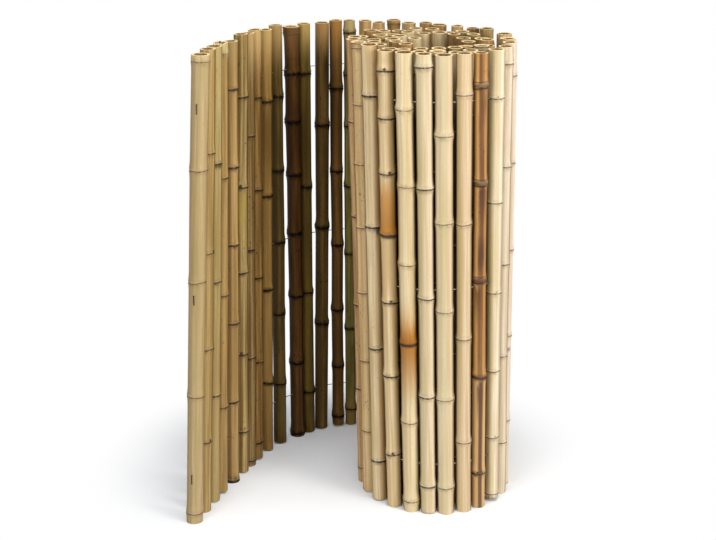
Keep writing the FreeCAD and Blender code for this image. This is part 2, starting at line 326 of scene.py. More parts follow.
@dataclass(frozen=True)
class SawnBamboo:
    """The sawn end of a cane: dense pale wood with dark dots where the vessels were cut, and furry saw marks.

    Attributes:
        pale: the colour of the wood between the vessels.
        shade: the colour of its darker patches.
        vessel: the colour of the cut vessels.
        vessel_spacing: their spacing in mm, drawn coarser than it is, to show at all.
    """

    pale: str = "dcc697"
    shade: str = "c4a468"
    vessel: str = "8a683c"
    vessel_spacing: float = 1.3

    def material(self, name: str) -> bpy.types.Material:
        """Build the sawn wood's material."""
        material, tree = start_material(name)
        place = add_node(tree, "ShaderNodeTexCoord").outputs["Object"]
        dots = add_node(tree, "ShaderNodeTexVoronoi", {"feature": "F1"},
                        {"Vector": place, "Scale": 1 / (self.vessel_spacing * MM)})
        spots = ramp(tree, dots.outputs["Distance"], 0.42, 0.2, 0.75)
        cloud = add_node(tree, "ShaderNodeTexNoise", None,
                         {"Vector": place, "Scale": 1 / (9 * MM), "Detail": 3.0})
        base = blend(tree, ramp(tree, cloud.outputs[0], 0.4, 0.7), srgb(self.pale), srgb(self.shade))
        colour = blend(tree, spots, base, srgb(self.vessel))
        fur = add_node(tree, "ShaderNodeTexNoise", None,
                       {"Vector": place, "Scale": 1 / (0.8 * MM), "Detail": 2.0})
        end_material(tree, fur.outputs[0], 0.6, 0.2, {"Base Color": colour, "Roughness": 0.85})
        return material


@dataclass(frozen=True)
class BambooPith:
    """The inside of a cane: a dry papery lining, felted at the diaphragm, darker than the skin partly by its
    own colour and partly by painted shade.

    Attributes:
        wall: the colour of the lining.
        shade: the colour of its darker patches.
    """

    wall: str = "8e7048"
    shade: str = "5a4228"

    def material(self, name: str) -> bpy.types.Material:
        """Build the lining's material."""
        material, tree = start_material(name)
        place = add_node(tree, "ShaderNodeTexCoord").outputs["Object"]
        stretch = add_node(tree, "ShaderNodeVectorMath", {"operation": "MULTIPLY"},
                           {0: place, 1: (1 / (3 * MM), 1 / (3 * MM), 1 / (18 * MM))})
        cloud = add_node(tree, "ShaderNodeTexNoise", None,
                         {"Vector": stretch.outputs[0], "Scale": 1.0, "Detail": 3.0})
        colour = blend(tree, ramp(tree, cloud.outputs[0], 0.35, 0.7), srgb(self.wall), srgb(self.shade))
        end_material(tree, cloud.outputs[0], 0.5, 0.3, {"Base Color": colour, "Roughness": 0.92})
        return material


@dataclass(frozen=True)
class ZincWire:
    """Hot-dipped galvanised wire, dulled out of doors, and rusted where its tails were bent over, the rust
    painted nearly black as shade.

    Attributes:
        bright: the colour of the fresher zinc.
        dull: the colour of the weathered zinc.
        rust_and_shade: the colour of the rusted tails, painted nearly black as their shade.
        crystal: the size of the mottle, in mm.
    """

    bright: str = "c3c2bc"
    dull: str = "94928b"
    rust_and_shade: str = "2a1a10"
    crystal: float = 1.6

    def material(self, name: str) -> bpy.types.Material:
        """Build the zinc's material."""
        material, tree = start_material(name)
        place = add_node(tree, "ShaderNodeTexCoord").outputs["Object"]
        cells = add_node(tree, "ShaderNodeTexNoise", None,
                         {"Vector": place, "Scale": 1 / (self.crystal * MM), "Detail": 3.0})
        colour = blend(tree, ramp(tree, cells.outputs[0], 0.38, 0.64), srgb(self.bright), srgb(self.dull))
        # The tails are rusted and painted nearly black, as the shade that they lie in.
        tail = add_node(tree, "ShaderNodeAttribute", {"attribute_name": "tail"}).outputs["Fac"]
        rust_and_shade_mask = product(tree, ramp(tree, cells.outputs[0], 0.25, 0.45), tail)
        colour = blend(tree, rust_and_shade_mask, colour, srgb(self.rust_and_shade))
        end_material(tree, cells.outputs[0], 0.4, 0.05, {
            "Base Color": colour, "Metallic": reckon(tree, "SUBTRACT", 1.0, rust_and_shade_mask),
            "Roughness": remap(tree, cells.outputs[0], 0.3, 0.7, 0.34, 0.55), "Specular IOR Level": 0.1})
        return material


@dataclass(frozen=True)
class Ring:
    """One level ring of a cane's solid, in mm."""

    z: float
    x: float
    y: float
    radius: float


class CaneSolid:
    """One cane as the frame holds it: its rings from foot to top and its knots, in mm."""

    KNOT_BAND = 4.0  # two rings closer than this are the bottom and top of one knot's ridge
    RING_POINTS = 36  # a ring has at least this many corner points at one height
    BORE_SHARE = 0.85  # a ring narrower than this share of its neighbour is the floor of a bore

    def __init__(self, points: np.ndarray) -> None:
        """Find the rings among the solid's corner points.

        Args:
            points: the solid's vertices in metres, one row each.
        """
        points = points / MM
        self.rings: list[Ring] = []
        levels = np.round(points[:, 2], 2)
        for level, count in zip(*np.unique(levels, return_counts=True)):
            ring = self.fit(points[levels == level]) if count >= self.RING_POINTS else None
            if ring and (not self.rings or ring.radius > self.rings[-1].radius * self.BORE_SHARE):
                self.rings.append(ring)
        self.knots = [(low.z + high.z) / 2 for low, high in zip(self.rings, self.rings[1:])
                      if high.z - low.z < self.KNOT_BAND]
        plain = [ring for ring in self.rings
                 if all(abs(ring.z - knot) > self.KNOT_BAND for knot in self.knots)]
        self.heights = np.array([ring.z for ring in self.rings])
        self.centres = np.array([(ring.x, ring.y) for ring in self.rings])
        self.plain_heights = np.array([ring.z for ring in plain])
        self.plain_radii = np.array([ring.radius for ring in plain])
        self.foot, self.top = self.rings[0].z, self.rings[-1].z
        self.radius = float(self.plain_radii.mean())

    @staticmethod
    def fit(points: np.ndarray) -> Ring | None:
        """Fit the outer circle of the points at one height, where they lie on one."""
        middle = (points.max(0) + points.min(0)) / 2
        reach = np.hypot(points[:, 0] - middle[0], points[:, 1] - middle[1])
        outer = points[reach > reach.max() * 0.97]
        if len(outer) < CaneSolid.RING_POINTS:
            return None
        system = np.c_[2 * outer[:, :2], np.ones(len(outer))]
        x, y, k = np.linalg.lstsq(system, (outer[:, :2] ** 2).sum(1), rcond=None)[0]
        return Ring(float(points[:, 2].mean()), float(x), float(y), float(math.sqrt(k + x * x + y * y)))


@dataclass(frozen=True)
class Growth:
    """How one cane grew and was cut.

    Attributes:
        root_up: whether it stands with its root end up, so that its knots are mirrored.
        bud_turn: the side of its first bud and groove, in turns from +X, or None for a drawn one.
        bud_size: how large its buds are, as a share of the usual.
        groove: how deep the grooves above its buds are, in mm.
        waver: how far its scar lines wander up and down, in mm.
        ragged: how deep the splinters of its broken top are, in mm.
        swell: how far its knots stand out, as a share of the usual.
    """

    root_up: bool = False
    bud_turn: float | None = None
    bud_size: float = 0.6
    groove: float = 0.8
    waver: float = 0.8
    ragged: float = 0.0
    swell: float = 1.0


@dataclass(frozen=True)
class Row:
    """One row of a cane's surface: a ring of the skin, or one further in at a sawn end.

    Attributes:
        level: the height of the skin's ring that it follows.
        inset: how far inside that ring it lies.
        drop: how far above that ring it lies.
        slot: its material's place in the piece's list.
    """

    level: float
    inset: float = 0.0
    drop: float = 0.0
    slot: int = 0


@dataclass(frozen=True)
class Hole:
    """A drilled hole: its height and its direction round the cane."""

    height: float
    way: float


@dataclass
class Cane:
    """One bamboo cane, drawn round its solid. Lengths are in mm.

    Attributes:
        number: its place in the mat, from the leading cane inwards.
        solid: the solid that it stands for.
        growth: how it grew and was cut.
        holes: where it was drilled.
    """

    number: int
    solid: CaneSolid
    growth: Growth
    holes: list[Hole]

    SEGMENTS = 40
    STEP = 24.0  # the furthest that two rings of the skin are apart
    WALL = 4.5
    DIAPHRAGM = 4.0
    SHORT_BORE = 6.0
    # The profile of a knot: how far from the scar towards the tip, and how far out
    PROFILE = ((-24.0, 0.0), (-15.0, 0.15), (-9.0, 0.5), (-5.0, 0.95), (-2.6, 1.35), (-1.3, 1.6),
               (-0.6, 1.6), (0.0, 0.9), (0.9, 0.8), (2.0, 1.2), (3.6, 1.5), (5.6, 1.35), (8.5, 0.95),
               (13.0, 0.5), (19.0, 0.15), (27.0, 0.0))
    TILT_REACH = 30.0  # how far from a knot its tilt fades out
    CUT_REACH = 12.0  # how far from an end the slope of its cut fades out
    FAR = 45.0  # skin further than this from a scar isn't marked by it
    MARKED = 18.0  # skin nearer than this is marked in full, and the marks fade over the next stretch
    MARK_FADE = 12.0
    APART = 137.0  # how far on the next cane's pattern starts
    BUD_RISE = 4.6  # how far above the scar a bud sits
    BUD_RADIUS = 2.7
    BUD_HEIGHT = 1.1
    GROOVE_START, GROOVE_END, GROOVE_FADE, GROOVE_WIDTH = 3.0, 190.0, 75.0, 0.42
    HOLE_RADIUS = 1.5
    HOLE_DEPTH = 2.2

    def __post_init__(self) -> None:
        """Draw the cane's own irregularities."""
        rng = self.rng = random.Random(900 + self.number)  # so that a cane looks the same on every run
        self.angles = np.arange(self.SEGMENTS + 1) * math.tau / self.SEGMENTS
        self.way = -1 if self.growth.root_up else 1
        self.oval = rng.uniform(0.004, 0.012) * self.solid.radius, rng.uniform(0, math.tau)
        self.waves = [(rng.uniform(0.08, 0.3), rng.choice((1, 2, 3)), rng.uniform(60, 220),
                       rng.uniform(0, math.tau)) for _ in range(3)]
        turn = rng.random() if self.growth.bud_turn is None else self.growth.bud_turn
        self.knots = {}
        for index, knot in enumerate(self.solid.knots):
            tilts = [(rng.uniform(0.3, 1.3) * self.growth.waver, 1, rng.uniform(0, math.tau)),
                     (rng.uniform(0.0, 0.4) * self.growth.waver, 3, rng.uniform(0, math.tau))]
            bud = math.tau * turn + math.pi * index + rng.uniform(-0.3, 0.3)
            self.knots[knot] = (rng.uniform(0.7, 1.1) * self.growth.swell, tilts, bud)
        self.cuts = [(rng.uniform(0.0, 0.7), rng.uniform(0, math.tau)) for _ in ("foot", "top")]
        splinters = [rng.random() ** 2 * self.growth.ragged for _ in range(self.SEGMENTS)]
        self.splinters = np.array(splinters + splinters[:1])

    def levels(self) -> list[float]:
        """Return the heights of the skin's rings, close together at knots and at drilled holes."""
        foot, top = self.solid.foot, self.solid.top
        marks = {foot + 0.7, top - 0.7, top}
        for knot in self.knots:
            marks |= {knot + self.way * offset for offset, _ in self.PROFILE}
        for hole in self.holes:
            marks |= {hole.height + offset for offset in (-3.0, -1.6, 0.0, 1.6, 3.0)}
        levels = [foot]
        for mark in sorted(mark for mark in marks if foot < mark <= top):
            gap = mark - levels[-1]
            if gap < 0.3:
                continue
            count = math.ceil(gap / self.STEP)
            levels += [levels[-1] + gap / count * (i + 1) for i in range(count)]
        levels[-1] = top
        return levels

    def rows(self) -> list[Row]:
        """Return every row of the surface, from the floor of the lower bore to that of the upper one."""
        foot, top = self.end_rows(self.solid.foot, 1.0), self.end_rows(self.solid.top, -1.0)
        return foot[::-1] + [Row(level) for level in self.levels()] + top

    def end_rows(self, level: float, inward: float) -> list[Row]:
        """Saw an end off: a rim, then the bore down to the diaphragm, or closed wood where a knot is near.

        Args:
            level: the end's level.
            inward: 1 at the foot and -1 at the top, the way into the cane.

        Returns:
            The rows from the rim inwards.
        """
        knot, _ = self.nearest_knot(level)
        depth = abs(knot - level) - self.DIAPHRAGM / 2
        wall = self.WALL + self.rng.uniform(-0.8, 0.8)
        radius = self.solid.radius
        if depth < self.SHORT_BORE:
            steps = [(0.4, 0.0, 1), (wall, 0.0, 1), (wall + 0.7, 0.8, 1), (radius * 0.66, 1.2, 2),
                     (radius * 0.98, 1.7, 2)]
        else:
            steps = [(0.3, 0.0, 1), (wall * 0.55, 0.0, 1), (wall - 0.3, 0.1, 1), (wall, 0.7, 2),
                     (wall + 0.1, depth * 0.35, 2), (wall + 0.3, depth * 0.75, 2),
                     (wall + 0.9, depth - 1.2, 2), (wall + 2.6, depth, 2), (radius * 0.98, depth + 0.6, 2)]
        return [Row(level, inset, inward * drop, slot) for inset, drop, slot in steps]

    def nearest_knot(self, z: float) -> tuple[float, float]:
        """Return the knot nearest to a height, and how far the height is from it towards the tip."""
        knot = min(self.knots, key=lambda k: abs(k - z))
        return knot, (z - knot) * self.way

    def shift(self, z: float) -> np.ndarray:
        """Return how far a ring's points stand above its level: scars tilt, and cuts slope or splinter."""
        knot, offset = self.nearest_knot(z)
        hold = max(0.0, 1.0 - abs(offset) / self.TILT_REACH)
        shift = hold * sum(size * np.sin(turns * self.angles + phase)
                           for size, turns, phase in self.knots[knot][1])
        for (slope, way), level, inward in zip(self.cuts, (self.solid.foot, self.solid.top), (1.0, -1.0)):
            near = max(0.0, 1.0 - abs(z - level) / self.CUT_REACH)
            shift = shift * (1.0 - near) + inward * near * slope * (1 + np.sin(self.angles + way)) / 2
        return shift - self.splinters * max(0.0, 1.0 - (self.solid.top - z) / self.CUT_REACH)

    def around(self, way: float) -> np.ndarray:
        """Return how far each direction is from a given one, in mm round the cane."""
        return ((self.angles - way + math.pi) % math.tau - math.pi) * self.solid.radius

    def row_points(self, row: Row) -> tuple[np.ndarray, np.ndarray]:
        """Return one row's points in metres, and how dark each is painted: a bud in its own colour, a drilled
        hole as shade.
        """
        z, solid = row.level, self.solid
        height = np.clip(z + self.shift(z), solid.foot, solid.top)
        x = np.interp(height + row.drop, solid.heights, solid.centres[:, 0])
        y = np.interp(height + row.drop, solid.heights, solid.centres[:, 1])
        radius = np.interp(height, solid.plain_heights, solid.plain_radii) - row.inset
        radius += self.oval[0] * np.cos(2 * (self.angles - self.oval[1]))
        radius += sum(size * np.sin(turns * self.angles + height / length + phase)
                      for size, turns, length, phase in self.waves)
        knot, offset = self.nearest_knot(z)
        strength, _, bud_way = self.knots[knot]
        bud = np.hypot(self.around(bud_way), offset - self.BUD_RISE) / self.BUD_RADIUS
        bud = np.exp(-bud ** 2) * self.growth.bud_size
        radius += strength * np.interp(offset, *zip(*self.PROFILE)) - self.groove(z) + self.BUD_HEIGHT * bud
        for hole in self.holes:
            if abs(z - hole.height) < 3 * self.HOLE_RADIUS:
                reach = np.hypot(self.around(hole.way), z - hole.height) / self.HOLE_RADIUS
                bored = np.exp(-reach ** 4)
                radius -= self.HOLE_DEPTH * bored
                # The hole is painted dark too, as the shade inside it.
                bud = np.maximum(bud, bored)
        points = np.c_[x + radius * np.cos(self.angles), y + radius * np.sin(self.angles), height + row.drop]
        return points * MM, bud

    def groove(self, z: float) -> np.ndarray:
        """Return how deep the grooves are that run up from the buds, on alternate sides."""
        depth = np.zeros(self.SEGMENTS + 1)
        for knot, (_, _, bud_way) in self.knots.items():
            above = (z - knot) * self.way
            if self.GROOVE_START < above < self.GROOVE_END:
                fade = min(1.0, (above - self.GROOVE_START) / 10.0) * math.exp(-above / self.GROOVE_FADE)
                width = self.GROOVE_WIDTH * self.solid.radius
                depth += self.growth.groove * fade * np.exp(-(self.around(bud_way) / width) ** 2)
        return depth

    def mesh(self) -> bpy.types.Mesh:
        """Roll a grid of skin into the cane, sawn ends and bores included, and weld its seam."""
        rows = self.rows()
        columns = self.SEGMENTS + 1
        grid = bmesh.new()
        bmesh.ops.create_grid(grid, x_segments=self.SEGMENTS, y_segments=len(rows) - 1, size=1.0)
        grid.verts.ensure_lookup_table()
        made = [self.row_points(row) for row in rows]
        for vert, point in zip(grid.verts, np.concatenate([points for points, _ in made])):
            vert.co = point
        data = bpy.data.meshes.new("cane")
        grid.to_mesh(data)
        grid.free()
        self.mark(data, rows, np.concatenate([dark for _, dark in made]))
        return self.weld(data, columns, len(rows))

    def mark(self, data: bpy.types.Mesh, rows: list[Row], dark: np.ndarray) -> None:
        """Store the maps, the distance to the scars, the dark spots and the materials on the flat grid."""
        columns = self.SEGMENTS + 1
        offsets = np.array([self.nearest_knot(row.level)[1] for row in rows])
        scar = np.repeat(np.clip(offsets, -self.FAR, self.FAR), columns)
        for name, values in (("scar", scar), ("dark", dark)):
            data.attributes.new(name, "FLOAT", "POINT").data.foreach_set("value", values)
        corners = np.empty(len(data.loops), dtype=np.int32)
        data.loops.foreach_get("vertex_index", corners)
        turn = (corners % columns) / self.SEGMENTS
        level = np.array([row.level for row in rows])[corners // columns]
        near = 1.0 - np.clip((np.abs(offsets[corners // columns]) - self.MARKED) / self.MARK_FADE, 0.0, 1.0)
        girth = math.tau * self.solid.radius
        skin = girth * turn + self.APART * self.number
        for name, first, second in (("skin", skin, level), ("turn", turn, near)):
            data.uv_layers.new(name=name).data.foreach_set("uv", np.c_[first, second].ravel())
        slots = np.array([row.slot for row in rows])[corners // columns].reshape(-1, 4).max(1)
        data.polygons.foreach_set("material_index", slots.astype(np.int32))
        data.polygons.foreach_set("use_smooth", np.ones(len(data.polygons), dtype=bool))

    @staticmethod
    def weld(data: bpy.types.Mesh, columns: int, count: int) -> bpy.types.Mesh:
        """Weld the seam of a grid of so many columns and rows, and close its two ends."""
        grid = bmesh.new()
        grid.from_mesh(data)
        grid.verts.ensure_lookup_table()
        last = columns * (count - 1)
        ends = [grid.verts[:columns], grid.verts[last:last + columns]]
        seam = [grid.verts[columns * row + side] for row in range(1, count - 1) for side in (0, columns - 1)]
        for end in ends:
            middle = sum((vert.co for vert in end), Vector()) / columns
            bmesh.ops.pointmerge(grid, verts=end, merge_co=middle)
        bmesh.ops.remove_doubles(grid, verts=seam, dist=0.001 * MM)
        bmesh.ops.recalc_face_normals(grid, faces=grid.faces)
        grid.to_mesh(data)
        grid.free()
        return data


@dataclass
class BambooMat:
    """All the canes of the panel, the seen ones each in its own skin and the hidden ones in shared skins.

    Attributes:
        skins: the skin of each seen cane, by its number.
        hidden_skins: the skins that the rest take in turn.
        growths: how the canes grew that differ from the usual, by number.
        wire_heights: the heights of the three wires, in mm.
    """

    skins: dict[int, BambooSkin]
    hidden_skins: list[BambooSkin]
    growths: dict[int, Growth]
    wire_heights: list[float]

    def build(self, nodes: dict[str, bpy.types.Object], slots: dict[str, str]) -> int:
        """Draw every cane of the frame's nodes and return how many there are."""
        names = sorted(name for name in nodes if name.startswith("cane"))
        solids = {name: [CaneSolid(points) for points in self.separate(nodes[name])] for name in names}
        line = [solid for name in names for solid in solids[name]]
        sawn, pith = SawnBamboo().material("sawn_bamboo"), BambooPith().material("bamboo_pith")
        spare = [skin.material("bamboo_skin_hidden_%d" % index)
                 for index, skin in enumerate(self.hidden_skins)]
        number = 0
        for name in names:
            first = number + 1
            joined = bmesh.new()
            for solid in solids[name]:
                number += 1
                growth = self.growths.get(number, Growth())
                part = Cane(number, solid, growth, self.holes(line, number - 1)).mesh()
                joined.from_mesh(part)
                bpy.data.meshes.remove(part)
            data = bpy.data.meshes.new("bamboo_" + name)
            joined.to_mesh(data)
            joined.free()
            known = self.skins.get(first)
            skin = known.material("bamboo_skin_" + name) if known else spare[first % len(spare)]
            for material in (skin, sawn, pith):
                data.materials.append(material)
            piece = bpy.data.objects.new("bamboo_" + name, data)
            bpy.context.scene.collection.objects.link(piece)
            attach(piece, "root")
            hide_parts(name)
            LOG.info("%s: canes %d to %d, %d faces", piece.name, first, number, len(data.polygons))
        return number

    def holes(self, line: list[CaneSolid], index: int) -> list[Hole]:
        """Find a cane's two drilled holes at each wire, on the sides that face its neighbours in the mat."""
        holes = []
        for height in self.wire_heights:
            here = self.centre(line[index], height)
            before = self.centre(line[index - 1], height) if index else None
            after = self.centre(line[index + 1], height) if index + 1 < len(line) else None
            ways = [there - here for there in (before, after) if there is not None]
            if len(ways) == 1:
                ways.append(-ways[0])
            holes += [Hole(height, math.atan2(way[1], way[0])) for way in ways]
        return holes

    @staticmethod
    def centre(solid: CaneSolid, height: float) -> np.ndarray:
        """Return the X and Y of a cane's centre at a height."""
        return np.array([np.interp(height, solid.heights, solid.centres[:, axis]) for axis in (0, 1)])

    @staticmethod
    def separate(node: bpy.types.Object) -> list[np.ndarray]:
        """Split a node's mesh into its canes and return the vertices of each, in m, in the mat's order."""
        mesh = bmesh.new()
        mesh.from_mesh(node.data)
        bmesh.ops.remove_doubles(mesh, verts=mesh.verts, dist=0.01 * MM)
        left, parts = set(mesh.verts), []
        while left:
            heap, part = [left.pop()], []
            while heap:
                vert = heap.pop()
                part.append(vert)
                fresh = {edge.other_vert(vert) for edge in vert.link_edges} & left
                left -= fresh
                heap += fresh
            parts.append((min(vert.index for vert in part), np.array([vert.co[:] for vert in part])))
        mesh.free()
        return [points for _, points in sorted(parts, key=lambda item: item[0])]


class Wires:
    """The three wires, kept as the frame holds them and finished in zinc."""

    HANG = 5.0  # what hangs further than this below the run of a wire is its tail, in mm
    BEND = 9.0  # how far round the tail reaches the bend that rusted with it and is painted dark as shade, in mm

    def __init__(self, nodes: dict[str, bpy.types.Object]) -> None:
        """Find the wires and how high they run."""
        self.wires = [nodes[name] for name in ("low_wire", "middle_wire", "top_wire")]
        self.heights = [float(np.median([vert.co.z for vert in wire.data.vertices])) / MM
                        for wire in self.wires]

    def dress(self) -> None:
        """Mark the tails and give the wires their finish."""
        zinc = ZincWire().material("galvanised_zinc")
        for wire, height in zip(self.wires, self.heights):
            data = wire.data
            points = np.array([vert.co[:] for vert in data.vertices]) / MM
            hanging = points[points[:, 2] < height - self.HANG][:, :2]
            away = np.min([np.hypot(*(points[:, :2] - tip).T) for tip in hanging], axis=0)
            tail = np.clip(1.0 - (away - self.BEND), 0.0, 1.0)
            data.attributes.new("tail", "FLOAT", "POINT").data.foreach_set("value", tail)
            data.materials.clear()
            data.materials.append(zinc)
            LOG.info("%s: zinc, tails rusted", wire.name)


STRAW, SAND, TAN, HONEY, GOLD, AMBER = "d2b98c", "c6ab7c", "b39466", "ba8f50", "a6783c", "8c5e2a"
OLIVE, MOSS, UMBER, RUST, SOOT = "84743e", "625c34", "644628", "744828", "24160d"
FRONT = 0.75  # the side of a cane that faces the camera, in turns from +X
WING_LEFT, ROLL_LEFT = 0.52, 0.49  # the left sides of the canes of the free end and of the roll


def along(colour: str, strength: float, side: float, spread: float = 0.24) -> StainAndPaintedLight:
    """Return a stripe that runs the whole length of a cane on one side of it."""
    return StainAndPaintedLight(500.0, 2500.0, 2500.0, colour, strength, side, spread)


def painted_edge_shade(colour: str, left: float = WING_LEFT, strength: float = 0.8) -> tuple[StainAndPaintedLight, StainAndPaintedLight]:
    """Return two lines of painted shade, left and right, where a cane meets its neighbours."""
    return along(colour, strength, left, 0.12), along(colour, strength, left + 0.5, 0.12)


def painted_top_light(colour: str, reach: float = 130.0, strength: float = 0.85) -> StainAndPaintedLight:
    """Return painted light on the upper end of a cane, where light falls on its top."""
    return StainAndPaintedLight(1006.0, 6.0, reach, colour, strength, over=True)


def swollen(height: float, band: str, edge: str) -> tuple[StainAndPaintedLight, StainAndPaintedLight, StainAndPaintedLight]:
    """Return the grey band of a thick old knot and the dark lines above and below it."""
    return (StainAndPaintedLight(height + 3.0, 6.0, 6.0, band, 0.85, over=True),
            StainAndPaintedLight(height + 9.0, 2.0, 2.0, edge, 0.7, over=True),
            StainAndPaintedLight(height - 4.0, 3.0, 4.0, edge, 0.9, over=True))
